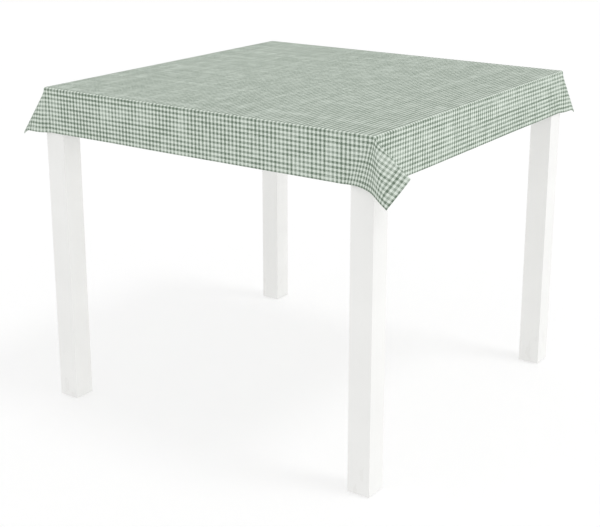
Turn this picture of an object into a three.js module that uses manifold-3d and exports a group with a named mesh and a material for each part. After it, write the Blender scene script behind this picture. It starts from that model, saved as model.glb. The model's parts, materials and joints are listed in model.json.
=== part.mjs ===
// A square table on four straight legs, with a square gingham cloth laid over it.
// Millimetres, +Z up. The origin is on the floor under the middle of the table.
// The front faces -Y and the right side faces +X.

import * as THREE from "three";
import { mergeVertices } from "three/addons/utils/BufferGeometryUtils.js";
import Module from "manifold-3d";

// ---- Table ----
const TABLE_SIDE = 900; // over the outer faces of the legs, and the board's side
const TABLE_HEIGHT = 775; // floor to the board's upper face
const BOARD_THICKNESS = 22;
const BOARD_CORNER_RADIUS = 8;
const BOARD_EDGE_BEVEL = 3;
const LEG_WIDTH = 54;
const LEG_FLAT_DEPTH = 9; // how far the flat for the bolt is cut into the leg's inner edge
const APRON_HEIGHT = 60;
const APRON_THICKNESS = 18;
const APRON_SETBACK = 14; // from the legs' outer faces

// ---- Corner hardware ----
const BRACKET_THICKNESS = 2.5;
const BRACKET_HEIGHT = 44;
const BRACKET_TO_LEG = 24; // from the leg's inner edge to the plate, along the diagonal
const FLANGE_LENGTH = 38;
const BOLT_RADIUS = 4;
const BOLT_DEPTH_IN_LEG = 38; // past the flat
const BOLT_STICK_OUT = 16; // past the bracket's inner face
const BOLT_CHAMFER = 1;
const BOLT_POINT = 6; // length of the tapered end in the leg
const WASHER_RADIUS = 11;
const WASHER_THICKNESS = 1.6;
const NUT_ACROSS_FLATS = 13;
const NUT_THICKNESS = 6.5;

// ---- Screws and clips ----
const SCREW_RADIUS = 2;
const SCREW_LENGTH = 15;
const SCREW_TIP = 3;
const SCREW_HEAD_RADIUS = 4;
const SCREW_HEAD_HEIGHT = 2.4;
const SCREW_CROWN_RADIUS = 2.4; // the flat on top of the head
const CLIP_THICKNESS = 2;
const CLIP_LEG = 26;
const CLIP_WIDTH = 30;

// ---- Feet ----
const GLIDE_RADIUS = 19;
const GLIDE_THICKNESS = 2;
const GLIDE_CHAMFER = 0.6;
const GLIDE_PIN_RADIUS = 2.5;
const GLIDE_PIN_LENGTH = 12;

// ---- Cloth ----
const CLOTH_THICKNESS = 1.2;
const CLOTH_DROP = 105; // from the board's upper face to the hem, at the middle of a side
const CLOTH_EASE = 1.5; // between the drape and the board's edge
const EDGE_ROLL = 4; // outer radius where the cloth turns over the board's edge
const HEM_DEPTH = 9;
const HEM_PROUD = 0.4; // how far the turned layers stand out on each side
const FLUTE_REACH = 38; // how far a corner's fold stands out past both sides at the hem
const FLUTE_SPREAD = 66; // how far from the corner the fold starts at the hem
const FLUTE_LEAD = 50; // how long the fold's start at the hem stays near the side
const FLUTE_BLUNT = 15; // how blunt the fold's tip is at the hem
const FLUTE_DIP = 18; // how much lower than the hem the cloth's corner hangs

// ---- Clearances ----
const SEAT_GAP = 0.3; // between two pieces that rest on each other
const HOLE_GAP = 0.3; // around a bolt, screw or pin in its hole

// ---- Places that follow from the sizes above ----
const HALF_SIDE = TABLE_SIDE / 2;
const BOARD_UNDERSIDE = TABLE_HEIGHT - BOARD_THICKNESS;
const LEG_INNER = HALF_SIDE - LEG_WIDTH; // where a leg's inner faces lie
const LEG_TOP = BOARD_UNDERSIDE - SEAT_GAP;
const LEG_BOTTOM = GLIDE_THICKNESS + SEAT_GAP;
const APRON_INNER = HALF_SIDE - APRON_SETBACK - APRON_THICKNESS;
const APRON_TOP = BOARD_UNDERSIDE - SEAT_GAP;
const HARDWARE_Z = APRON_TOP - APRON_HEIGHT / 2; // the bolts and bracket screws lie at this height
const LEG_EDGE_DISTANCE = LEG_INNER * Math.SQRT2; // from the table's axis to a leg's inner edge
const PLATE_DISTANCE = LEG_EDGE_DISTANCE - BRACKET_TO_LEG; // to the bracket's face towards the leg
const PLATE_INNER_DISTANCE = PLATE_DISTANCE - BRACKET_THICKNESS;
const BOLT_START = PLATE_INNER_DISTANCE - BOLT_STICK_OUT;
const BOLT_END = LEG_EDGE_DISTANCE + LEG_FLAT_DEPTH + BOLT_DEPTH_IN_LEG;
const WASHER_END = PLATE_INNER_DISTANCE - SEAT_GAP;
const NUT_END = WASHER_END - WASHER_THICKNESS - SEAT_GAP;
const FLANGE_FACE = APRON_INNER - SEAT_GAP;
const FLANGE_BEND = PLATE_DISTANCE * Math.SQRT2 - FLANGE_FACE; // where the plate meets the flange
const FLANGE_SCREW = FLANGE_BEND - FLANGE_LENGTH / 2;
const CLIP_TOP = BOARD_UNDERSIDE - SEAT_GAP;
const CLIP_FACE = APRON_INNER - SEAT_GAP;
const CLIP_SCREW_INSET = (CLIP_LEG + CLIP_THICKNESS) / 2; // from a clip's outer faces to its screws
const SCREW_GRIP = SCREW_LENGTH + SEAT_GAP; // depth of a screw's hole below its head
const CLOTH_TOP = TABLE_HEIGHT + SEAT_GAP + CLOTH_THICKNESS;
const CLOTH_HALF = HALF_SIDE + CLOTH_EASE + CLOTH_THICKNESS;
const CLOTH_CORNER_RADIUS = BOARD_CORNER_RADIUS + CLOTH_EASE + CLOTH_THICKNESS;

// ---- Mesh detail ----
const ROUND_SEGMENTS = 24;
const SCREW_SEGMENTS = 12;
const ROLL_STEPS = 3; // rings around the cloth's edge roll
const DRAPE_STEPS = 4; // rings down the drape
const FLUTE_STEPS = 14; // points around one corner's fold
const SIDE_STEPS = 4; // points along half a straight side

const SIDES = ["back", "left", "front", "right"]; // each a quarter turn after the one before
const CORNERS = ["back_right", "back_left", "front_left", "front_right"];

const wasm = await Module();
wasm.setup();

// ---- Solids ----

function solidOf(geometry) {
  const bare = geometry.clone();
  bare.deleteAttribute("normal");
  bare.deleteAttribute("uv");
  const merged = mergeVertices(bare);
  return new wasm.Manifold(
    new wasm.Mesh({
      numProp: 3,
      vertProperties: new Float32Array(merged.attributes.position.array),
      triVerts: new Uint32Array(merged.index.array),
    }),
  );
}

function geometryOf(solid) {
  const mesh = solid.getMesh();
  const geometry = new THREE.BufferGeometry();
  geometry.setAttribute("position", new THREE.BufferAttribute(mesh.vertProperties, 3));
  geometry.setIndex(new THREE.BufferAttribute(mesh.triVerts, 1));
  geometry.computeVertexNormals();
  return geometry;
}

function cut(geometry, tools) {
  const holes = tools.map(solidOf);
  const result = holes.reduce((solid, hole) => solid.subtract(hole), solidOf(geometry));
  return geometryOf(result);
}

// A cylinder along +Y that starts at the origin.
function rod(radius, length, segments = SCREW_SEGMENTS) {
  return new THREE.CylinderGeometry(radius, radius, length, segments).translate(0, length / 2, 0);
}

// Lays a geometry that points along +Y on the diagonal of the first quadrant.
function onDiagonal(geometry, distance, z) {
  return geometry
    .translate(0, distance, 0)
    .rotateZ(-Math.PI / 4)
    .translate(0, 0, z);
}

// A solid of revolution about Y from [radius, y] pairs that start and end on the axis.
function turned(profile, segments) {
  const points = profile.map(([radius, y]) => new THREE.Vector2(radius, y));
  return new THREE.LatheGeometry(points, segments);
}

// A closed surface through rings of equally many points, capped at both ends. Each ring runs
// anticlockwise as seen from outside the first cap.
function loft(rings) {
  const count = rings[0].length;
  const points = rings.flat();
  const faces = [];
  for (let ring = 0; ring + 1 < rings.length; ring++) {
    for (let i = 0; i < count; i++) {
      const next = (i + 1) % count;
      const [a, b] = [ring * count + i, (ring + 1) * count + i];
      const [c, d] = [ring * count + next, (ring + 1) * count + next];
      faces.push(a, b, c, c, b, d);
    }
  }
  const last = (rings.length - 1) * count;
  const firstCentre = points.push(middleOf(rings[0])) - 1;
  const lastCentre = points.push(middleOf(rings[rings.length - 1])) - 1;
  for (let i = 0; i < count; i++) {
    const next = (i + 1) % count;
    faces.push(firstCentre, i, next, lastCentre, last + next, last + i);
  }
  const geometry = new THREE.BufferGeometry().setFromPoints(points);
  geometry.setIndex(faces);
  geometry.computeVertexNormals();
  return geometry;
}

function middleOf(ring) {
  const sum = ring.reduce((total, point) => total.add(point), new THREE.Vector3());
  return sum.divideScalar(ring.length);
}

// ---- Materials ----

function material(color, roughness, metalness = 0) {
  return new THREE.MeshStandardMaterial({ color, roughness, metalness });
}

function named(name, geometry, look) {
  const mesh = new THREE.Mesh(geometry, look());
  mesh.name = name;
  return mesh;
}

const WHITE_LACQUER = () => material(0xf4f4f2, 0.45);
const BOARD_MELAMINE = () => material(0xefefec, 0.5);
const ZINC_SHEET = () => material(0xb9bcc0, 0.4, 0.9);
const FASTENER_STEEL = () => material(0xa6a9ad, 0.35, 1);
const GLIDE_PLASTIC = () => material(0xe6e6e2, 0.6);
const GINGHAM = () => material(0xa9bda9, 0.95);
const HEM_COTTON = () => material(0x9fb49f, 0.95);

// ---- Board ----

function roundedSquare(half, radius) {
  const straight = half - radius;
  const shape = new THREE.Shape();
  shape.absarc(straight, straight, radius, 0, Math.PI / 2);
  shape.absarc(-straight, straight, radius, Math.PI / 2, Math.PI);
  shape.absarc(-straight, -straight, radius, Math.PI, 1.5 * Math.PI);
  shape.absarc(straight, -straight, radius, 1.5 * Math.PI, 2 * Math.PI);
  return shape;
}

function boardGeometry() {
  const blank = new THREE.ExtrudeGeometry(roundedSquare(HALF_SIDE, BOARD_CORNER_RADIUS), {
    depth: BOARD_THICKNESS - 2 * BOARD_EDGE_BEVEL,
    bevelThickness: BOARD_EDGE_BEVEL,
    bevelSize: BOARD_EDGE_BEVEL,
    bevelOffset: -BOARD_EDGE_BEVEL,
    bevelSegments: 2,
    curveSegments: 5,
  }).translate(0, 0, BOARD_UNDERSIDE + BOARD_EDGE_BEVEL);
  const pilots = SIDES.map((side, quarter) =>
    clipScrewUp(rod(SCREW_RADIUS + HOLE_GAP, SCREW_GRIP)).rotateZ((quarter * Math.PI) / 2),
  );
  return cut(blank, pilots);
}

// ---- Screws ----

// A pan-head screw that points along +Y, with the underside of its head on y = 0.
function screwGeometry() {
  const profile = [
    [0, -SCREW_HEAD_HEIGHT],
    [SCREW_CROWN_RADIUS, -SCREW_HEAD_HEIGHT],
    [SCREW_HEAD_RADIUS, -SCREW_HEAD_HEIGHT / 2],
    [SCREW_HEAD_RADIUS, 0],
    [SCREW_RADIUS, 0],
    [SCREW_RADIUS, SCREW_LENGTH - SCREW_TIP],
    [0, SCREW_LENGTH],
  ];
  return turned(profile, SCREW_SEGMENTS);
}

// Places a screw, or the hole for one, that goes up through a clip into the board.
function clipScrewUp(geometry) {
  return geometry
    .rotateX(Math.PI / 2)
    .translate(0, CLIP_FACE - CLIP_SCREW_INSET, CLIP_TOP - CLIP_THICKNESS - SEAT_GAP);
}

// Places a screw, or the hole for one, that goes out through a clip into the apron.
function clipScrewOut(geometry) {
  return geometry.translate(
    0,
    CLIP_FACE - CLIP_THICKNESS - SEAT_GAP,
    CLIP_TOP - CLIP_SCREW_INSET,
  );
}

// Places a screw, or the hole for one, through a bracket's flange. In the first quadrant a
// bracket has one flange on the back apron, which faces +Y, and one on the right apron.
function flangeScrew(geometry, onRightApron) {
  geometry.translate(0, FLANGE_FACE - BRACKET_THICKNESS - SEAT_GAP, 0);
  return onRightApron
    ? geometry.rotateZ(-Math.PI / 2).translate(0, FLANGE_SCREW, HARDWARE_Z)
    : geometry.translate(FLANGE_SCREW, 0, HARDWARE_Z);
}

// ---- Aprons ----

// The apron of the back side, between the two back legs.
function apronGeometry() {
  const length = 2 * (LEG_INNER - SEAT_GAP);
  const blank = new THREE.BoxGeometry(length, APRON_THICKNESS, APRON_HEIGHT).translate(
    0,
    APRON_INNER + APRON_THICKNESS / 2,
    APRON_TOP - APRON_HEIGHT / 2,
  );
  const hole = () => rod(SCREW_RADIUS + HOLE_GAP, SCREW_GRIP);
  const mirrored = flangeScrew(hole(), false).translate(-2 * FLANGE_SCREW, 0, 0);
  return cut(blank, [clipScrewOut(hole()), flangeScrew(hole(), false), mirrored]);
}

// ---- Legs and their fastenings, for the corner of the first quadrant ----

function boltHole() {
  const length = BOLT_END + SEAT_GAP - BOLT_START;
  return onDiagonal(rod(BOLT_RADIUS + HOLE_GAP, length), BOLT_START, HARDWARE_Z);
}

function legGeometry() {
  const centre = HALF_SIDE - LEG_WIDTH / 2;
  const height = LEG_TOP - LEG_BOTTOM;
  const blank = new THREE.BoxGeometry(LEG_WIDTH, LEG_WIDTH, height).translate(
    centre,
    centre,
    LEG_BOTTOM + height / 2,
  );
  const flat = new THREE.BoxGeometry(LEG_WIDTH, 2 * LEG_FLAT_DEPTH, 2 * APRON_HEIGHT);
  const pinHole = rod(GLIDE_PIN_RADIUS + HOLE_GAP, GLIDE_PIN_LENGTH + SEAT_GAP)
    .rotateX(Math.PI / 2)
    .translate(centre, centre, GLIDE_THICKNESS);
  return cut(blank, [onDiagonal(flat, LEG_EDGE_DISTANCE, LEG_TOP), boltHole(), pinHole]);
}

// A bent strip: the plate across the corner, and a flange flat on each apron.
function bracketGeometry() {
  const inner = FLANGE_FACE - BRACKET_THICKNESS;
  const innerBend = FLANGE_BEND - BRACKET_THICKNESS * (Math.SQRT2 - 1);
  const end = FLANGE_BEND - FLANGE_LENGTH;
  const half = [
    [FLANGE_FACE, end],
    [FLANGE_FACE, FLANGE_BEND],
  ];
  const innerHalf = [
    [inner, innerBend],
    [inner, end],
  ];
  const swapped = (pairs) => pairs.map(([x, y]) => [y, x]).reverse();
  const outline = [...half, ...swapped(half), ...swapped(innerHalf), ...innerHalf];
  const shape = new THREE.Shape(outline.map(([x, y]) => new THREE.Vector2(x, y)));
  const blank = new THREE.ExtrudeGeometry(shape, {
    depth: BRACKET_HEIGHT,
    bevelEnabled: false,
  }).translate(0, 0, HARDWARE_Z - BRACKET_HEIGHT / 2);
  const hole = () => rod(SCREW_RADIUS + HOLE_GAP, SCREW_GRIP);
  return cut(blank, [boltHole(), flangeScrew(hole(), false), flangeScrew(hole(), true)]);
}

function boltGeometry() {
  const length = BOLT_END - BOLT_START;
  const profile = [
    [0, 0],
    [BOLT_RADIUS - BOLT_CHAMFER, 0],
    [BOLT_RADIUS, BOLT_CHAMFER],
    [BOLT_RADIUS, length - BOLT_POINT],
    [0, length],
  ];
  return onDiagonal(turned(profile, ROUND_SEGMENTS), BOLT_START, HARDWARE_Z);
}

// A flat ring or hexagon with a hole for the bolt, which ends at the given distance.
function onBolt(sides, radius, thickness, endDistance) {
  const angles = Array.from({ length: sides }, (_, i) => (2 * Math.PI * i) / sides);
  const outline = new THREE.Shape(
    angles.map((angle) => new THREE.Vector2(radius * Math.cos(angle), radius * Math.sin(angle))),
  );
  outline.holes.push(new THREE.Path().absarc(0, 0, BOLT_RADIUS + HOLE_GAP, 0, 2 * Math.PI));
  const ring = new THREE.ExtrudeGeometry(outline, {
    depth: thickness,
    bevelEnabled: false,
    curveSegments: ROUND_SEGMENTS / 2,
  });
  return onDiagonal(ring.rotateX(Math.PI / 2), endDistance, HARDWARE_Z);
}

function washerGeometry() {
  return onBolt(ROUND_SEGMENTS, WASHER_RADIUS, WASHER_THICKNESS, WASHER_END);
}

function nutGeometry() {
  return onBolt(6, NUT_ACROSS_FLATS / Math.sqrt(3), NUT_THICKNESS, NUT_END);
}

function glideGeometry() {
  const centre = HALF_SIDE - LEG_WIDTH / 2;
  const profile = [
    [0, 0],
    [GLIDE_RADIUS - GLIDE_CHAMFER, 0],
    [GLIDE_RADIUS, GLIDE_CHAMFER],
    [GLIDE_RADIUS, GLIDE_THICKNESS],
    [GLIDE_PIN_RADIUS, GLIDE_THICKNESS],
    [GLIDE_PIN_RADIUS, GLIDE_THICKNESS + GLIDE_PIN_LENGTH],
    [0, GLIDE_THICKNESS + GLIDE_PIN_LENGTH],
  ];
  return turned(profile, ROUND_SEGMENTS)
    .rotateX(Math.PI / 2)
    .translate(centre, centre, 0);
}

// ---- Top clips, for the back side ----

function clipGeometry() {
  const [face, top] = [CLIP_FACE, CLIP_TOP];
  const outline = [
    [face, top],
    [face - CLIP_LEG, top],
    [face - CLIP_LEG, top - CLIP_THICKNESS],
    [face - CLIP_THICKNESS, top - CLIP_THICKNESS],
    [face - CLIP_THICKNESS, top - CLIP_LEG],
    [face, top - CLIP_LEG],
  ];
  const shape = new THREE.Shape(outline.map(([y, z]) => new THREE.Vector2(y, z)));
  const blank = new THREE.ExtrudeGeometry(shape, { depth: CLIP_WIDTH, bevelEnabled: false })
    .rotateX(Math.PI / 2)
    .rotateZ(Math.PI / 2)
    .translate(-CLIP_WIDTH / 2, 0, 0);
  const hole = () => rod(SCREW_RADIUS + HOLE_GAP, SCREW_GRIP);
  return cut(blank, [clipScrewUp(hole()), clipScrewOut(hole())]);
}

// ---- Cloth ----

// A square with a soft fold at each corner, as a ring of { x, y, fold } anticlockwise from the
// middle of the right side. In a corner's shape, spread is how far from the corner the fold
// starts, reach is how far its middle stands out along both sides, and lead and blunt are the
// curve's handles at its start and at its middle. fold is 1 at the middle and 0 outside.
function clothOutline(half, { spread, reach, lead, blunt }) {
  const tip = new THREE.Vector2(half + reach, half + reach);
  const curve = new THREE.CubicBezierCurve(
    new THREE.Vector2(half, half - spread),
    new THREE.Vector2(half, half - spread + lead),
    tip.clone().add(new THREE.Vector2(blunt, -blunt)),
    tip,
  );
  const rising = curve.getPoints(FLUTE_STEPS / 2);
  const falling = rising.map(({ x, y }) => new THREE.Vector2(y, x)).reverse();
  const corner = [...rising, ...falling.slice(1)];
  const quarter = [];
  for (let i = 0; i < SIDE_STEPS; i++) {
    quarter.push({ x: half, y: ((half - spread) * i) / SIDE_STEPS, fold: 0 });
  }
  corner.forEach(({ x, y }, i) => {
    quarter.push({ x, y, fold: Math.sin((Math.PI * i) / FLUTE_STEPS) ** 2 });
  });
  for (let i = SIDE_STEPS - 1; i > 0; i--) {
    quarter.push({ x: ((half - spread) * i) / SIDE_STEPS, y: half, fold: 0 });
  }
  const turn = ({ x, y, fold }) => ({ x: -y, y: x, fold });
  const ring = [];
  let part = quarter;
  for (let corner = 0; corner < CORNERS.length; corner++) {
    ring.push(...part);
    part = part.map(turn);
  }
  return ring;
}

const QUARTER_POINTS = 2 * SIDE_STEPS + FLUTE_STEPS; // in a quarter of the outline
const TIP_POINT = SIDE_STEPS + FLUTE_STEPS / 2; // the cloth's corner, counted in its quarter

// A corner of the cloth where it is a plain round one.
function roundCorner(radius) {
  const handle = (4 / 3) * Math.tan(Math.PI / 16) * radius; // for an eighth of a circle
  return {
    spread: radius,
    reach: (Math.SQRT1_2 - 1) * radius,
    lead: handle,
    blunt: handle * Math.SQRT1_2,
  };
}

// The ring around the edge roll at an angle from 0, on the top, to a right angle, on the drape.
function rollRing(angle, depth) {
  const radius = EDGE_ROLL - depth;
  const inset = EDGE_ROLL - radius * Math.sin(angle);
  const z = CLOTH_TOP - EDGE_ROLL + radius * Math.cos(angle);
  const outline = clothOutline(CLOTH_HALF - inset, roundCorner(CLOTH_CORNER_RADIUS - inset));
  return outline.map(({ x, y }) => new THREE.Vector3(x, y, z));
}

// The ring at a share of the way down the drape, moved inwards by depth.
function drapeRing(share, depth) {
  const round = roundCorner(CLOTH_CORNER_RADIUS);
  const blend = (key, flute) => [key, THREE.MathUtils.lerp(round[key], flute, share)];
  const corner = Object.fromEntries([
    blend("spread", FLUTE_SPREAD),
    blend("reach", FLUTE_REACH),
    blend("lead", FLUTE_LEAD),
    blend("blunt", FLUTE_BLUNT),
  ]);
  const outline = clothOutline(CLOTH_HALF, corner);
  const top = CLOTH_TOP - EDGE_ROLL;
  const hem = TABLE_HEIGHT - CLOTH_DROP;
  return outline.map(({ x, y, fold }, i) => {
    const before = outline.at(i - 1);
    const after = outline[(i + 1) % outline.length];
    const along = new THREE.Vector2(after.x - before.x, after.y - before.y).normalize();
    const z = top - (top - hem + FLUTE_DIP * fold) * share;
    return new THREE.Vector3(x - along.y * depth, y + along.x * depth, z);
  });
}

const HEM_SHARE = 1 - HEM_DEPTH / (CLOTH_DROP - EDGE_ROLL); // where the hem starts
const HEM_GAP_SHARE = SEAT_GAP / (CLOTH_DROP - EDGE_ROLL);

function clothGeometry() {
  const rolls = Array.from({ length: ROLL_STEPS }, (_, i) => ((Math.PI / 2) * i) / ROLL_STEPS);
  const end = HEM_SHARE - HEM_GAP_SHARE;
  const drops = Array.from({ length: DRAPE_STEPS + 1 }, (_, i) => (end * i) / DRAPE_STEPS);
  const face = (depth) => [
    ...rolls.map((angle) => rollRing(angle, depth)),
    ...drops.map((share) => drapeRing(share, depth)),
  ];
  return loft([...face(0), ...face(CLOTH_THICKNESS).reverse()]);
}

// One side's hem, from the cloth's corner before it to the cloth's corner after it.
function hemGeometry(quarter) {
  const rings = [
    drapeRing(1, -HEM_PROUD),
    drapeRing(HEM_SHARE, -HEM_PROUD),
    drapeRing(HEM_SHARE, CLOTH_THICKNESS + HEM_PROUD),
    drapeRing(1, CLOTH_THICKNESS + HEM_PROUD),
  ];
  const count = rings[0].length;
  const first = quarter * QUARTER_POINTS + TIP_POINT;
  const section = (i) => rings.map((ring) => ring[i % count].clone());
  const sections = Array.from({ length: QUARTER_POINTS + 1 }, (_, i) => section(first + i));
  shorten(sections[0], sections[1]);
  shorten(sections[QUARTER_POINTS], sections[QUARTER_POINTS - 1]);
  return loft(sections);
}

// Moves an end section towards its neighbour, to leave a gap at the cloth's corner.
function shorten(end, neighbour) {
  const share = SEAT_GAP / end[0].distanceTo(neighbour[0]);
  end.forEach((point, i) => point.lerp(neighbour[i], share));
}

// ---- Assembly ----

function sideGroup(side) {
  const group = new THREE.Group();
  group.add(
    named(`apron_${side}`, apronGeometry(), WHITE_LACQUER),
    named(`top_clip_${side}`, clipGeometry(), ZINC_SHEET),
    named(`clip_screw_board_${side}`, clipScrewUp(screwGeometry()), FASTENER_STEEL),
    named(`clip_screw_apron_${side}`, clipScrewOut(screwGeometry()), FASTENER_STEEL),
  );
  return group;
}

function cornerGroup(corner) {
  const group = new THREE.Group();
  group.add(
    named(`leg_${corner}`, legGeometry(), WHITE_LACQUER),
    named(`foot_glide_${corner}`, glideGeometry(), GLIDE_PLASTIC),
    named(`corner_bracket_${corner}`, bracketGeometry(), ZINC_SHEET),
    named(`hanger_bolt_${corner}`, boltGeometry(), FASTENER_STEEL),
    named(`washer_${corner}`, washerGeometry(), FASTENER_STEEL),
    named(`nut_${corner}`, nutGeometry(), FASTENER_STEEL),
    named(`bracket_screw_a_${corner}`, flangeScrew(screwGeometry(), false), FASTENER_STEEL),
    named(`bracket_screw_b_${corner}`, flangeScrew(screwGeometry(), true), FASTENER_STEEL),
  );
  return group;
}

function table() {
  const group = new THREE.Group();
  group.add(named("table_top", boardGeometry(), BOARD_MELAMINE));
  for (let quarter = 0; quarter < SIDES.length; quarter++) {
    const parts = [sideGroup(SIDES[quarter]), cornerGroup(CORNERS[quarter])];
    for (const part of parts) part.rotation.z = (quarter * Math.PI) / 2;
    group.add(...parts);
  }
  return group;
}

function cloth() {
  const group = new THREE.Group();
  group.add(named("tablecloth", clothGeometry(), GINGHAM));
  SIDES.forEach((side, quarter) => {
    group.add(named(`hem_${side}`, hemGeometry(quarter), HEM_COTTON));
  });
  return group;
}

const model = new THREE.Group();
model.add(table(), cloth());

export default model;
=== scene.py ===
"""A square table on white legs under a fine gingham cloth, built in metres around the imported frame."""

import json
import math

import bpy
import numpy as np
from mathutils import Euler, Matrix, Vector

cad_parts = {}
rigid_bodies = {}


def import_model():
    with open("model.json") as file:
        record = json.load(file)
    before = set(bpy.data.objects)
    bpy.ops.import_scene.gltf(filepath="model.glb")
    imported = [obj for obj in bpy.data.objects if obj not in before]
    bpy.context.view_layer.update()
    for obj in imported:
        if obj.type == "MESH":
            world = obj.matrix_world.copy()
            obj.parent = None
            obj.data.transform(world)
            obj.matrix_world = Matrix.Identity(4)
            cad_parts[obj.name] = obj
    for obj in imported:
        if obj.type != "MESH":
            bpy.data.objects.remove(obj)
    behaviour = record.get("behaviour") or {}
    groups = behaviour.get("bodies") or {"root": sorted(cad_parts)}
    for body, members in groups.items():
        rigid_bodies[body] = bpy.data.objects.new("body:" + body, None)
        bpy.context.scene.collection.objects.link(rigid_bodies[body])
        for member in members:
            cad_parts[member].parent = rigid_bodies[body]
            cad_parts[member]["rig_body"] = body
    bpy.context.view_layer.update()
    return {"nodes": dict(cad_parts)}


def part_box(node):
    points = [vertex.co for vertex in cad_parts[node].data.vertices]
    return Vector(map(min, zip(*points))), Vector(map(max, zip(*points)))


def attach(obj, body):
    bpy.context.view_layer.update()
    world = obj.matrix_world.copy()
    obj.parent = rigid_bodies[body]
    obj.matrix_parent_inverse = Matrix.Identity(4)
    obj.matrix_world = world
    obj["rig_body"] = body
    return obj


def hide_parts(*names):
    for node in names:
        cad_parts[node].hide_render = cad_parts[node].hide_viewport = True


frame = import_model()

MM = 0.001
TINY = 1e-12  # keeps a division by a length from failing at 0
SIDES = ("back", "left", "front", "right")

# ---- The cloth ----
BOARD_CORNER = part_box("table_top")[1]
BOARD_TOP = BOARD_CORNER.z
BOARD_HALF = BOARD_CORNER.x
CLOTH_THICKNESS = 0.6 * MM
FACE_RISE = 1.2 * MM  # from the board to the cloth's face
CLOTH_FACE_TOP = BOARD_TOP + FACE_RISE
CLOTH_EASE = 1.6 * MM  # between a hanging side and the board's edge
DRAPE_FACE = BOARD_HALF + CLOTH_EASE + CLOTH_THICKNESS
ROLL_RADIUS = 4.5 * MM  # of the face where it turns over the board's edge
ROLL_LENGTH = ROLL_RADIUS * math.pi / 2
TOP_HALF = DRAPE_FACE - ROLL_RADIUS  # of the part that lies flat
DROP = 106 * MM  # from the face on top to the hem
FLAT_HALF = TOP_HALF + ROLL_LENGTH + DROP - ROLL_RADIUS
ROLL_EASE = 7 * MM  # over which a flute grows out of the roll
WAVE = 1.2 * MM  # how far a hanging side wanders in and out
TOP_LINES, ROLL_LINES, DRAPE_LINES = 38, 8, 36  # of the sheet's mesh, from the middle out to one edge
SHEET_INSET = 0.4 * MM  # of the sheet's own edge inside the fold of the hem

# ---- The check and the weave ----
CHECK_REPEAT = 10 * MM
GREEN_SHARE = 0.5  # of each repeat
YARN_PITCH = 0.5 * MM
YARN_RELIEF = 0.12 * MM

# ---- The hem ----
HEM_WIDTH = 9 * MM
HEM_THICKNESS = 0.5 * MM
HEM_GAP = 0.05 * MM  # to the reverse, and to the next hem at a corner
HEM_LAP = 0.9 * MM  # of the fold onto the face
HEM_SECTIONS = 361
HEM_BUNCHING = 0.96 * math.pi / 2  # the nearer to a quarter turn, the closer the sections are at the corners
STITCH_INSET = 7.6 * MM
STITCH_PITCH = 3.0 * MM
STITCH_LENGTH = 2.3 * MM
THREAD_RADIUS = 0.17 * MM
THREAD_SIDES = 6
SEWN_DEPTH = CLOTH_THICKNESS + HEM_THICKNESS + 0.08 * MM  # of the folded hem's surface below the face
STITCH_BOW = ((-0.5, -0.8), (-0.42, 0.35), (-0.2, 0.8), (0.2, 0.8), (0.42, 0.35), (0.5, -0.8))  # along, up


# =============================== the shape of the cloth ===============================


def hanging(tilts):
    """Unit directions that hang down, each tilted outwards along x and y by the angles given."""
    tilt = np.linalg.norm(tilts, axis=-1, keepdims=True)
    flat = np.sin(tilt) / np.maximum(tilt, TINY)
    return np.concatenate([tilts * flat, -np.cos(tilt)], axis=-1)


def spline(points, steps):
    """A Catmull-Rom curve from the second point to the last but one."""
    points = np.asarray(points, float)
    t = np.linspace(0, 1, steps, endpoint=False)[:, None]
    spans = []
    for a, b, c, d in zip(points, points[1:], points[2:], points[3:]):
        spans.append(b + t / 2 * (c - a + t * (2 * a - 5 * b + 4 * c - d + t * (3 * (b - c) + d - a))))
    return np.concatenate([*spans, points[-2:-1]])


class Flute:
    """The slack cloth at a corner, which hangs from the board's corner as a cone.

    A direction in the flat cloth is an angle about the board's corner: 0 square to the side that
    faces x, a right angle square to the side that faces y, and half of it at the cloth's own corner.
    The cone is given by how each direction tilts outwards along x and y when it hangs. It leaves the
    x side before bend x, runs through the points of out, the cloth's corner and the points of home,
    and joins the y side after bend y. Short is the share of its length that the corner loses.
    """

    STEPS = 24  # of the curve between two tilts
    LEAD = 0.2  # how far past its ends the curve's outer points lie

    def __init__(self, sign, bends, out, corner, home, short):
        self.sign = np.array(sign, float)
        self.first, self.last = -bends[0], math.pi / 2 + bends[1]
        start, end = (0, -bends[0]), (-bends[1], 0)
        before, after = (0, -bends[0] - self.LEAD), (-bends[1] - self.LEAD, 0)
        self.tilts = spline([before, start, *out, corner, *home, end, after], self.STEPS)
        length = np.concatenate([[0], np.cumsum(np.linalg.norm(np.diff(self.tilts, axis=0), axis=1))])
        middle = (len(out) + 1) * self.STEPS
        lengths = length[[0, middle, -1]]
        self.angles = np.interp(length, lengths, [self.first, math.pi / 4, self.last])
        self.short = short

    def kept(self, angle):
        """The share of the cloth's length that is left along a direction."""
        return 1 - self.short * np.sin(2 * np.clip(angle, 0, math.pi / 2)) ** 2

    def moves(self, u, v):
        """How far the flute carries flat points from where a plain drape would hang them."""
        x, y = self.sign[0] * u - TOP_HALF, self.sign[1] * v - TOP_HALF
        reach, angle = np.hypot(x, y), np.arctan2(y, x)
        inside = (angle > self.first) & (angle < self.last)
        angle = np.clip(angle, self.first, self.last)
        plain = np.stack([-np.maximum(angle - math.pi / 2, 0), np.minimum(angle, 0)], axis=-1)
        tilt = np.stack([np.interp(angle, self.angles, self.tilts[:, k]) for k in (0, 1)], axis=-1)
        slant = np.where(angle < 0, np.cos(angle), 1)
        slant = np.where(angle > math.pi / 2, np.sin(angle), slant)
        roll = ROLL_LENGTH / slant
        hang = np.maximum(reach - roll, 0) * self.kept(angle)
        eased = hang - ROLL_EASE * (1 - np.exp(-hang / ROLL_EASE))
        move = np.where(inside, eased, 0)[..., None] * (hanging(tilt) - hanging(plain))
        return move * np.array([*self.sign, 1])


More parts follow.
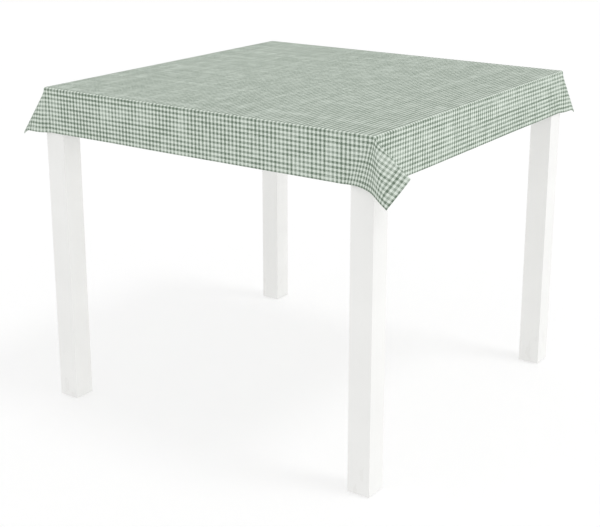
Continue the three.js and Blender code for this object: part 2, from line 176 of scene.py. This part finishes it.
FLUTES = (
    Flute(
        sign=(1, 1), bends=(0.15, 0.15), short=0.11,
        out=[(0.10, 0.10), (0.15, 0.36)], corner=(0.07, 0.57), home=[(-0.06, 0.45), (-0.12, 0.20)],
    ),
    Flute(
        sign=(-1, 1), bends=(0.12, 0.12), short=0.11,
        out=[(0.25, -0.05), (0.46, 0.15)], corner=(0.42, 0.40), home=[(0.15, 0.46), (-0.05, 0.25)],
    ),
    Flute(
        sign=(-1, -1), bends=(0.18, 0.14), short=0.11,
        out=[(0.20, -0.26), (0.43, -0.14)], corner=(0.55, 0.08), home=[(0.38, 0.24), (0.12, 0.20)],
    ),
    Flute(
        sign=(1, -1), bends=(0.45, 0.58), short=0.03,
        out=[(0.40, -0.33), (0.84, -0.08)], corner=(0.39, 0.30), home=[(0.05, 0.20), (-0.28, 0.10)],
    ),
)


def waves(along, seed):
    """A slow wander along a side, from -1 to 1, which dies out towards the corners."""
    x = along / TOP_HALF
    ripple = 0.6  # the height of the shorter wave beside the longer one
    wander = np.sin(5.3 * x + 1.7 * seed) + ripple * np.sin(9.1 * x + 2.9 * seed + 1)
    return wander / (1 + ripple) * np.clip(1 - x**4, 0, 1)


def draped(u, v):
    """Where points (u, v) of the flat cloth's face lie once it is on the table."""
    top_u, top_v = np.clip(u, -TOP_HALF, TOP_HALF), np.clip(v, -TOP_HALF, TOP_HALF)
    over_u, over_v = u - top_u, v - top_v
    over = np.hypot(over_u, over_v)
    rolled = np.minimum(over, ROLL_LENGTH)
    out = ROLL_RADIUS * np.sin(rolled / ROLL_RADIUS) / np.maximum(over, TINY)
    angle = np.arctan2(np.abs(over_v), np.abs(over_u))
    hang = over - rolled
    for flute in FLUTES:
        own = (np.sign(over_u) == flute.sign[0]) & (np.sign(over_v) == flute.sign[1])
        hang = np.where(own, hang * flute.kept(angle), hang)
    down = ROLL_RADIUS * (1 - np.cos(rolled / ROLL_RADIUS)) + hang
    places = np.stack([top_u + over_u * out, top_v + over_v * out, CLOTH_FACE_TOP - down], axis=-1)
    for flute in FLUTES:
        places += flute.moves(u, v)
    swing = WAVE * np.minimum(hang / DROP, 1)
    places[..., 0] += np.sign(over_u) * swing * np.where(over_v == 0, waves(v, 1 + np.sign(u)), 0)
    places[..., 1] += np.sign(over_v) * swing * np.where(over_u == 0, waves(u, 2 + np.sign(v)), 0)
    return places


def unit(ways):
    """The same directions, each with a length of 1."""
    return ways / np.maximum(np.linalg.norm(ways, axis=-1, keepdims=True), TINY)


def on_cloth(u, v):
    """Places on the cloth's face, with the directions of u and v there and the outward normal."""
    step = 0.1 * MM
    limit = FLAT_HALF + HEM_WIDTH
    u, v = np.broadcast_arrays(np.clip(u, -limit, limit), np.clip(v, -limit, limit))
    place = draped(u, v)
    along_u = draped(u + step, v) - draped(u - step, v)
    along_v = draped(u, v + step) - draped(u, v - step)
    normal = np.cross(along_u, along_v)
    return place, unit(along_u), unit(along_v), unit(normal)


# =================================== mesh helpers ===================================


def new_piece(name, vertices, faces, materials, uvs=None, face_materials=None):
    """A smooth mesh object. uvs holds a flat place for each vertex, in metres."""
    mesh = bpy.data.meshes.new(name)
    points = np.asarray(vertices, float).reshape(-1, 3)
    mesh.from_pydata(points.tolist(), [], [[int(index) for index in face] for face in faces])
    for material in materials:
        mesh.materials.append(material)
    if face_materials is not None:
        mesh.polygons.foreach_set("material_index", np.asarray(face_materials, np.int32))
    if uvs is not None:
        corners = np.empty(len(mesh.loops), np.int32)
        mesh.loops.foreach_get("vertex_index", corners)
        layer = mesh.uv_layers.new(name="flat")
        layer.data.foreach_set("uv", np.asarray(uvs, np.float32).reshape(-1, 2)[corners].ravel())
    mesh.polygons.foreach_set("use_smooth", np.full(len(mesh.polygons), True))
    mesh.validate()
    mesh.update()
    piece = bpy.data.objects.new(name, mesh)
    bpy.context.scene.collection.objects.link(piece)
    return piece


def lattice(rows, columns, first=0, wrap=False):
    """The quads between vertices stored row by row. Wrap joins the last column to the first."""
    index = first + np.arange(rows * columns).reshape(rows, columns)
    if wrap:
        index = np.concatenate([index, index[:, :1]], axis=1)
    quads = [index[:-1, :-1], index[1:, :-1], index[1:, 1:], index[:-1, 1:]]
    return np.stack(quads, axis=-1).reshape(-1, 4)


# ==================================== the cloth ====================================


def flat_lines():
    """The coordinates of the lines that divide the cloth: close over the roll and down the drape."""
    roll_end = TOP_HALF + ROLL_LENGTH
    top = np.linspace(0, TOP_HALF, TOP_LINES)
    roll = np.linspace(TOP_HALF, roll_end, ROLL_LINES)[1:]
    drape = np.linspace(roll_end, FLAT_HALF - SHEET_INSET, DRAPE_LINES)[1:]
    half = np.concatenate([top, roll, drape])
    return np.concatenate([-half[:0:-1], half])


def make_cloth(face, reverse):
    """The tablecloth as one thin closed sheet, its face outwards and its plain reverse inwards."""
    lines = flat_lines()
    count = len(lines)
    u, v = np.meshgrid(lines, lines, indexing="ij")
    place, _, _, normal = on_cloth(u, v)
    inner = place - CLOTH_THICKNESS * normal
    faces = lattice(count, count)
    back = lattice(count, count, first=count * count)[:, ::-1]
    ring = np.arange(count * count).reshape(count, count)
    rim = np.concatenate([ring[0, :-1], ring[:-1, -1], ring[-1, :0:-1], ring[:0:-1, 0]])
    after = np.roll(rim, -1)
    edge = np.stack([rim, after, after + count * count, rim + count * count], axis=-1)
    kinds = [0] * len(faces) + [1] * len(back) + [0] * len(edge)
    return new_piece(
        "tablecloth_fabric",
        np.concatenate([place.reshape(-1, 3), inner.reshape(-1, 3)]),
        np.concatenate([faces, back, edge]),
        [face, reverse],
        np.tile(np.stack([u, v], axis=-1).reshape(-1, 2), (2, 1)),
        kinds,
    )


def side_point(side, along, inset):
    """Flat coordinates of a point that far along a side of the cloth and that far in from its edge."""
    edge = FLAT_HALF - inset
    places = {
        "right": (edge, along), "back": (-along, edge), "left": (-edge, -along), "front": (along, -edge),
    }
    return places[side]


def make_hem(side, material):
    """The turned edge of one side: the cloth's face folded round the edge and laid on the reverse."""
    t, h = CLOTH_THICKNESS, HEM_THICKNESS
    section = [  # inset from the edge, depth below the face
        (HEM_LAP, -0.04 * MM), (0.3 * MM, 0.0), (0.0, 0.25 * MM), (-0.1 * MM, t), (0.0, t + 0.75 * h),
        (0.4 * MM, t + h), (0.5 * HEM_WIDTH, t + h + 0.1 * MM), (HEM_WIDTH - 0.3 * MM, t + h),
        (HEM_WIDTH, t + 0.6 * h), (HEM_WIDTH - 0.2 * MM, t + HEM_GAP), (HEM_LAP, t + HEM_GAP),
        (0.6 * MM, 0.5 * t),
    ]
    inset, depth = np.array(section).T
    share = np.sin(np.linspace(-HEM_BUNCHING, HEM_BUNCHING, HEM_SECTIONS)) / math.sin(HEM_BUNCHING)
    along = share[:, None] * (FLAT_HALF - inset - HEM_GAP)
    u, v = side_point(side, along, np.broadcast_to(inset, along.shape))
    place, _, _, normal = on_cloth(u, v)
    vertices = place - depth[:, None] * normal
    turned = np.where(depth > t / 2, -inset, inset)  # the flat place of what is folded under
    uvs = np.stack(side_point(side, along, np.broadcast_to(turned, along.shape)), axis=-1)
    rows, columns = along.shape
    faces = lattice(rows, columns, wrap=True).tolist()
    faces += [list(range(columns)), list(range(rows * columns - 1, (rows - 1) * columns - 1, -1))]
    return new_piece("hem_fabric_" + side, vertices, facing_out(vertices, faces), [material], uvs)


def facing_out(vertices, faces):
    """The faces of a closed piece, turned round if they point inwards."""
    points = np.asarray(vertices).reshape(-1, 3)
    volume = 0.0
    for face in faces:
        a = points[face[0]]
        for b, c in zip(face[1:], face[2:]):
            volume += a @ np.cross(points[b], points[c])
    return faces if volume > 0 else [list(face)[::-1] for face in faces]


def make_stitches(side, material):
    """The two rows of thread that hold a hem: one along the face and one along the folded edge."""
    rings = np.array(STITCH_BOW)
    turn = np.arange(THREAD_SIDES) * 2 * math.pi / THREAD_SIDES
    last = FLAT_HALF - STITCH_INSET - STITCH_PITCH
    starts = np.arange(-last, last, STITCH_PITCH)
    stitches = []
    for out, depth, late in ((1, 0.0, 0.0), (-1, SEWN_DEPTH, 0.5)):  # late is in stitch pitches
        along = (starts + late * STITCH_PITCH)[:, None] + rings[:, 0] * STITCH_LENGTH
        u, v = side_point(side, along, np.full(along.shape, STITCH_INSET))
        place, along_u, along_v, normal = on_cloth(u, v)
        across = (along_u if side in ("left", "right") else along_v)[..., None, :]
        rise = out * rings[:, 1] * THREAD_RADIUS - depth
        centre = place + rise[:, None] * normal
        ring = np.cos(turn)[:, None] * across + np.sin(turn)[:, None] * normal[..., None, :]
        stitches.append((centre[..., None, :] + THREAD_RADIUS * ring).reshape(len(starts), -1, 3))
    stitches = np.concatenate(stitches)
    size = stitches.shape[1]
    one = lattice(len(rings), len(turn), wrap=True).tolist()
    one += [list(range(len(turn))), list(range(size - len(turn), size))[::-1]]
    one = facing_out(stitches[0], one)
    firsts = range(0, size * len(stitches), size)
    faces = [[index + first for index in face] for first in firsts for face in one]
    return new_piece("hem_stitches_" + side, stitches, faces, [material])


# ==================================== materials ====================================


def tint(red, green, blue):
    """A display colour, 0 to 255, as the linear colour that a shader takes."""
    parts = [c / 255 for c in (red, green, blue)]
    return [c / 12.92 if c <= 0.04045 else ((c + 0.055) / 1.055) ** 2.4 for c in parts] + [1.0]


class Paint:
    """One material's nodes. A method returns what its node gives, or links it to the shader."""

    def __init__(self, name, **settings):
        self.material = bpy.data.materials.new(name)
        self.material.use_nodes = True
        self.tree = self.material.node_tree
        self.shader = self.tree.nodes["Principled BSDF"]
        for socket, value in settings.items():
            self.shader.inputs[socket.replace("_", " ")].default_value = value

    def node(self, kind, inputs, output=0, **settings):
        node = self.tree.nodes.new("ShaderNode" + kind)
        for key, value in settings.items():
            setattr(node, key, value)
        for key, value in inputs.items():
            if isinstance(value, bpy.types.NodeSocket):
                self.tree.links.new(value, node.inputs[key])
            else:
                node.inputs[key].default_value = value
        return node.outputs[output]

    def math(self, operation, a, b=0.0):
        return self.node("Math", {0: a, 1: b}, operation=operation)

    def mix(self, share, a, b):
        return self.node("Mix", {0: share, 6: a, 7: b}, output=2, data_type="RGBA")

    def blend(self, share, a, b):
        return self.node("Mix", {0: share, 2: a, 3: b}, data_type="FLOAT")

    def spread(self, value, low, high, to_low=0.0, to_high=1.0):
        return self.node("MapRange", {0: value, 1: low, 2: high, 3: to_low, 4: to_high})

    def split(self, vector):
        """A vector's x, y and z."""
        parts = self.tree.nodes.new("ShaderNodeSeparateXYZ")
        self.tree.links.new(vector, parts.inputs[0])
        return list(parts.outputs)

    def noise(self, scale, detail=2.0, at=None, stretch=(1, 1, 1)):
        where = at or self.node("TexCoord", {}, output="Object")
        placed = self.node("Mapping", {"Vector": where, "Scale": stretch})
        return self.node("TexNoise", {"Vector": placed, "Scale": scale, "Detail": detail})

    def bump(self, height, distance, strength=1.0):
        normal = self.node("Bump", {"Height": height, "Distance": distance, "Strength": strength})
        self.tree.links.new(normal, self.shader.inputs["Normal"])

    def colour(self, value):
        self.tree.links.new(value, self.shader.inputs["Base Color"])

    def roughness(self, value):
        self.tree.links.new(value, self.shader.inputs["Roughness"])


def woven(paint, strength):
    """Adds the plain weave's relief. Returns the flat place, its u and v, and which yarn is on top."""
    flat = paint.node("UVMap", {}, uv_map="flat")
    u, v, _ = paint.split(flat)
    yarns = [paint.math("DIVIDE", x, YARN_PITCH) for x in (u, v)]
    crossing = paint.math("ADD", *[paint.math("FLOOR", yarn) for yarn in yarns])
    over = paint.math("FLOORED_MODULO", crossing, 2.0)
    places = [paint.math("FRACT", yarn) for yarn in yarns]
    crowns = [paint.math("SINE", paint.math("MULTIPLY", place, math.pi)) for place in places]
    slub = paint.math("MULTIPLY", paint.noise(900, at=flat, stretch=(1, 0.05, 1)), 0.4)
    height = paint.math("ADD", paint.math("MULTIPLY", *crowns), slub)
    paint.bump(height, YARN_RELIEF, strength)
    return flat, u, v, over


def green_stripes(paint, across):
    """1 on the green stripes met along a coordinate and 0 on the white ones, white in the middle."""
    middle_of_white = (1 + GREEN_SHARE) / 2
    repeats = paint.math("DIVIDE", across, CHECK_REPEAT)
    phase = paint.math("FRACT", paint.math("ADD", repeats, middle_of_white))
    return paint.math("LESS_THAN", phase, GREEN_SHARE)


def gingham():
    """Cotton check: equal green and white stripes both ways, in plain weave.

    The green is uneven in bars of many yarns, in slubs, and from yarn to yarn.
    """
    finish = {"Roughness": 0.9, "Sheen_Weight": 0.03, "Sheen_Roughness": 0.5, "Specular_IOR_Level": 0.08}
    paint = Paint("gingham_check", **finish)
    flat, u, v, over = woven(paint, 0.3)
    bars, slubs, yarns = (34, 0.02, 0.36), (70, 0.25, 0.45), (700, 0.01, 0.25)  # scale, stretch, unevenness
    stripes = []
    for across in (u, v):
        share = green_stripes(paint, across)
        for scale, stretch, uneven in (bars, slubs, yarns):
            drawn = (1, stretch, 1) if across is u else (stretch, 1, 1)
            cloud = paint.noise(scale, 3.0, at=flat, stretch=drawn)
            tone = paint.spread(cloud, 0.3, 0.7, 1 - uneven, 1 + uneven)
            share = paint.math("MULTIPLY", share, tone)
        stripes.append(share)
    from_afar, close_by = paint.blend(0.5, *stripes), paint.blend(over, *stripes)
    share = paint.blend(0.45, from_afar, close_by)
    paint.colour(paint.mix(share, tint(222, 231, 221), tint(108, 124, 108)))
    return paint.material


def cloth_reverse():
    """The cloth's plain reverse, off-white, with the check showing through faintly."""
    paint = Paint("cloth_reverse", Roughness=0.9, Sheen_Weight=0.1, Specular_IOR_Level=0.2)
    flat, u, v, _ = woven(paint, 0.35)
    green = paint.blend(0.5, *[green_stripes(paint, across) for across in (u, v)])
    cloudy = paint.spread(paint.noise(14, 3.0, at=flat), 0.3, 0.7, 0.22, 0.32)
    share = paint.math("MULTIPLY", green, cloudy)
    paint.colour(paint.mix(share, tint(233, 233, 229), tint(120, 138, 124)))
    return paint.material


def thread():
    """Pale sewing thread, with its twist."""
    paint = Paint("hem_thread", Roughness=0.7, Sheen_Weight=0.2)
    twist = paint.noise(2500, 1.0, stretch=(1, 1, 3))
    paint.colour(paint.mix(twist, tint(214, 226, 215), tint(240, 245, 239)))
    paint.bump(twist, 0.05 * MM, 0.5)
    return paint.material


def lacquer():
    """Satin white lacquer: a fine orange peel, slight unevenness, and scuffs low on the legs."""
    paint = Paint("white_lacquer_paint", Specular_IOR_Level=0.4)
    height = paint.split(paint.node("TexCoord", {}, output="Object"))[2]
    low = paint.spread(height, 0.0, 0.16, 1.0, 0.0)
    scuffed = paint.math("GREATER_THAN", paint.noise(70, 5.0, stretch=(1, 1, 0.35)), 0.62)
    wear = paint.math("MULTIPLY", paint.math("MULTIPLY", low, scuffed), 0.12)
    uneven = paint.spread(paint.noise(6, 4.0), 0.35, 0.65)
    white = paint.mix(uneven, tint(237, 237, 235), tint(241, 241, 239))
    paint.colour(paint.mix(wear, white, tint(196, 194, 188)))
    paint.roughness(paint.spread(paint.noise(40, 3.0), 0.3, 0.7, 0.38, 0.5))
    paint.bump(paint.noise(420, 2.0), 0.05 * MM, 0.35)
    return paint.material


def melamine():
    """The board's white melamine: a close pebbled surface."""
    paint = Paint("board_melamine_face", Specular_IOR_Level=0.45)
    pebble = paint.noise(700, 2.0)
    paint.colour(paint.mix(paint.noise(12, 3.0), tint(228, 228, 225), tint(236, 236, 233)))
    paint.roughness(paint.spread(pebble, 0.3, 0.7, 0.45, 0.6))
    paint.bump(pebble, 0.06 * MM, 0.5)
    return paint.material


def zinc():
    """Galvanised sheet: pale spangle with a dull shine."""
    paint = Paint("zinc_sheet_metal", Metallic=0.9)
    cells = paint.node("TexVoronoi", {"Scale": 160.0}, output="Color")
    spangle = paint.node("SeparateColor", {0: cells})
    paint.colour(paint.mix(spangle, tint(158, 162, 166), tint(196, 199, 202)))
    paint.roughness(paint.spread(spangle, 0.0, 1.0, 0.32, 0.5))
    paint.bump(paint.noise(300, 3.0), 0.04 * MM, 0.4)
    return paint.material


def steel():
    """Bright plated steel with turning marks."""
    paint = Paint("fastener_steel_metal", Metallic=1.0)
    marks = paint.noise(1800, 2.0, stretch=(1, 1, 0.1))
    paint.colour(paint.mix(marks, tint(150, 150, 148), tint(202, 202, 198)))
    paint.roughness(paint.spread(marks, 0.3, 0.7, 0.22, 0.42))
    paint.bump(marks, 0.03 * MM, 0.4)
    return paint.material


def glide():
    """Pale moulded plastic with rubbed faces."""
    paint = Paint("glide_plastic_moulded", Specular_IOR_Level=0.4)
    rubbed = paint.noise(120, 4.0)
    paint.colour(paint.mix(rubbed, tint(196, 195, 190), tint(224, 223, 218)))
    paint.roughness(paint.spread(rubbed, 0.3, 0.7, 0.45, 0.7))
    paint.bump(rubbed, 0.05 * MM, 0.4)
    return paint.material


def dress_table():
    """Gives every table node its material, and breaks the sharp edges of the painted wood."""
    wood, sheet_metal, metal = lacquer(), zinc(), steel()
    finishes = {
        "table_top": melamine(), "leg": wood, "apron": wood, "foot_glide": glide(),
        "corner_bracket": sheet_metal, "top_clip": sheet_metal,
    }
    for name, node in frame["nodes"].items():
        if node["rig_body"] != "table":
            continue
        finish = next((f for start, f in finishes.items() if name.startswith(start)), metal)
        node.data.materials.clear()
        node.data.materials.append(finish)
        if name.startswith(("leg", "apron")):
            weld = node.modifiers.new("weld", "WELD")
            weld.merge_threshold = 0.01 * MM
            edges = node.modifiers.new("edges", "BEVEL")
            edges.width = 0.8 * MM
            edges.segments = 3
            edges.limit_method = "ANGLE"
            edges.angle_limit = math.radians(40)
            edges.harden_normals = True


# ============================ floor, light and camera ============================


def make_floor():
    """A plain pale studio floor. Its glow brings it almost to white and keeps its shadows faint."""
    grey, glow, half = 0.62, 0.415, 45.0
    finish = {"Base_Color": (grey, grey, grey, 1), "Emission_Color": (1, 1, 1, 1), "Emission_Strength": glow}
    paint = Paint("studio_floor", Roughness=1.0, Specular_IOR_Level=0.0, **finish)
    corners = [(-half, -half, 0), (half, -half, 0), (half, half, 0), (-half, half, 0)]
    floor = new_piece("floor", corners, [(0, 1, 2, 3)], [paint.material])


def add_light(kind, place, strength, **settings):
    """A light that aims at the middle of the table."""
    data = bpy.data.lights.new(kind.lower(), kind)
    data.energy = strength
    for key, value in settings.items():
        setattr(data, key, value)
    light = bpy.data.objects.new(kind.lower(), data)
    light.location = place
    middle = Vector((0, 0, 0.4))
    light.rotation_euler = (middle - light.location).to_track_quat("-Z", "Y").to_euler()
    bpy.context.scene.collection.objects.link(light)


def make_light():
    """Pale surroundings, dimmer overhead, a soft key high on the right and a low fill from there."""
    around, overhead = 1.0, 0.78
    world = bpy.data.worlds.new("studio")
    world.use_nodes = True
    tree = world.node_tree
    place = tree.nodes.new("ShaderNodeTexCoord")
    height = tree.nodes.new("ShaderNodeSeparateXYZ")
    dimmer = tree.nodes.new("ShaderNodeMapRange")
    tree.links.new(place.outputs["Generated"], height.inputs[0])
    tree.links.new(height.outputs["Z"], dimmer.inputs["Value"])
    dimmer.inputs["To Min"].default_value = around
    dimmer.inputs["To Max"].default_value = overhead
    background = tree.nodes["Background"]
    background.inputs["Color"].default_value = (1, 1, 1, 1)
    tree.links.new(dimmer.outputs["Result"], background.inputs["Strength"])
    bpy.context.scene.world = world
    add_light("SUN", (1.6, 0.4, 3.6), 0.36, angle=math.radians(17))
    add_light("AREA", (3.4, 0.5, 0.45), 10, shape="DISK", size=1.2)


def make_camera():
    """The camera, a little above the table and off its right front corner."""
    down, turn = math.radians(15.42), math.radians(34.82)
    data = bpy.data.cameras.new("camera")
    data.sensor_width = 36.0
    data.lens = 72.4
    data.shift_y = -0.12
    data.clip_end = 200.0
    camera = bpy.data.objects.new("camera", data)
    camera.location = (1.620, -2.384, 1.288)
    camera.rotation_euler = Euler((math.pi / 2 - down, 0, turn))
    bpy.context.scene.collection.objects.link(camera)
    bpy.context.scene.camera = camera


# ==================================== the scene ====================================

make_camera()
make_light()
make_floor()
dress_table()
bpy.context.scene.view_settings.view_transform = "Standard"

check = gingham()
cloth = make_cloth(check, cloth_reverse())
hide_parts("tablecloth")
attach(cloth, "cloth")

sewing = thread()
for side in SIDES:
    hem = make_hem(side, check)
    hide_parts("hem_" + side)
    stitches = make_stitches(side, sewing)
    for piece in (hem, stitches):
        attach(piece, "cloth")
